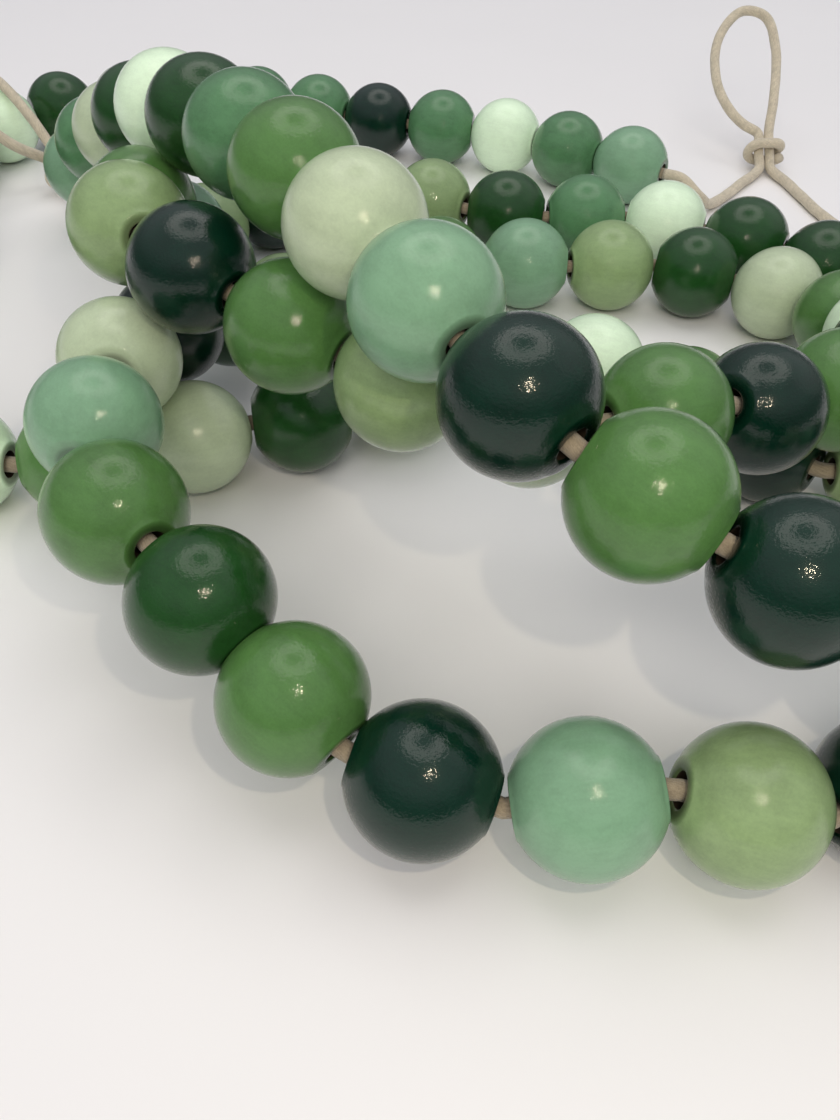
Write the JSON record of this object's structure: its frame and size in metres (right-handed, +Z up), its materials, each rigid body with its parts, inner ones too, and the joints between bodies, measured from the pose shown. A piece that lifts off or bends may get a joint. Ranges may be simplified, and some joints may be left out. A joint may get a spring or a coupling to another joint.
{
  "type": "wood bead garland",
  "caption": "Round painted wood beads in mixed greens threaded on a cotton cord with a knotted hanging loop at each end, lying in a loose heap.",
  "frame": {"origin": "on the surface that the garland lies on, under the middle of the box around the threaded beads", "axes": "+Z up; +Y from the front row of beads to the back row; +X to the right along the back row"},
  "size_m": [0.3152, 0.2803, 0.0673],
  "materials": {
    "paint_forest": "satin paint over wood",
    "paint_teal": "satin paint over wood",
    "paint_leaf": "satin paint over wood",
    "paint_fern": "satin paint over wood",
    "paint_olive": "satin paint over wood",
    "paint_mint": "satin paint over wood",
    "paint_sage": "satin paint over wood",
    "paint_pale": "satin paint over wood",
    "paint_mixed": "satin paint over wood, several greens side by side",
    "cotton_cord": "natural cotton, twisted"
  },
  "bodies": {
    "root": {"beads_01": "paint_mixed", "beads_04": "paint_mixed", "beads_07": "paint_mixed", "beads_11": "paint_mixed", "beads_16": "paint_mixed", "beads_20": "paint_mixed", "beads_22": "paint_mixed", "beads_24": "paint_mixed", "beads_26": "paint_mixed", "beads_28": "paint_mixed", "beads_30": "paint_mixed", "beads_34": "paint_mixed", "beads_37": "paint_mixed", "beads_40": "paint_mixed", "beads_44": "paint_mixed", "beads_47": "paint_teal", "beads_48": "paint_leaf", "beads_49": "paint_olive", "beads_50": "paint_sage", "beads_51": "paint_leaf", "beads_52": "paint_teal", "beads_53": "paint_mixed", "beads_55": "paint_mixed", "beads_57": "paint_mixed", "beads_59": "paint_mixed", "beads_61": "paint_leaf", "beads_62": "paint_mixed", "beads_65": "paint_teal", "beads_66": "paint_sage", "beads_67": "paint_mint", "beads_68": "paint_leaf", "beads_69": "paint_forest", "beads_70": "paint_leaf", "beads_71": "paint_teal", "beads_72": "paint_mint", "beads_73": "paint_olive", "beads_74": "paint_teal", "beads_75": "paint_mixed", "beads_79": "paint_mixed", "beads_83": "paint_mixed", "beads_87": "paint_teal", "beads_88": "paint_leaf", "beads_89": "paint_teal", "beads_90": "paint_mint", "beads_91": "paint_sage", "beads_92": "paint_leaf", "beads_93": "paint_fern", "beads_94": "paint_forest", "beads_95": "paint_pale", "beads_96": "paint_forest", "beads_97": "paint_sage", "beads_98": "paint_fern", "beads_99": "paint_mint", "cord_end_left": "cotton_cord", "cord_end_right": "cotton_cord", "cord_threaded": "cotton_cord", "knot_left": "cotton_cord", "knot_right": "cotton_cord"}
  },
  "joints": []
}
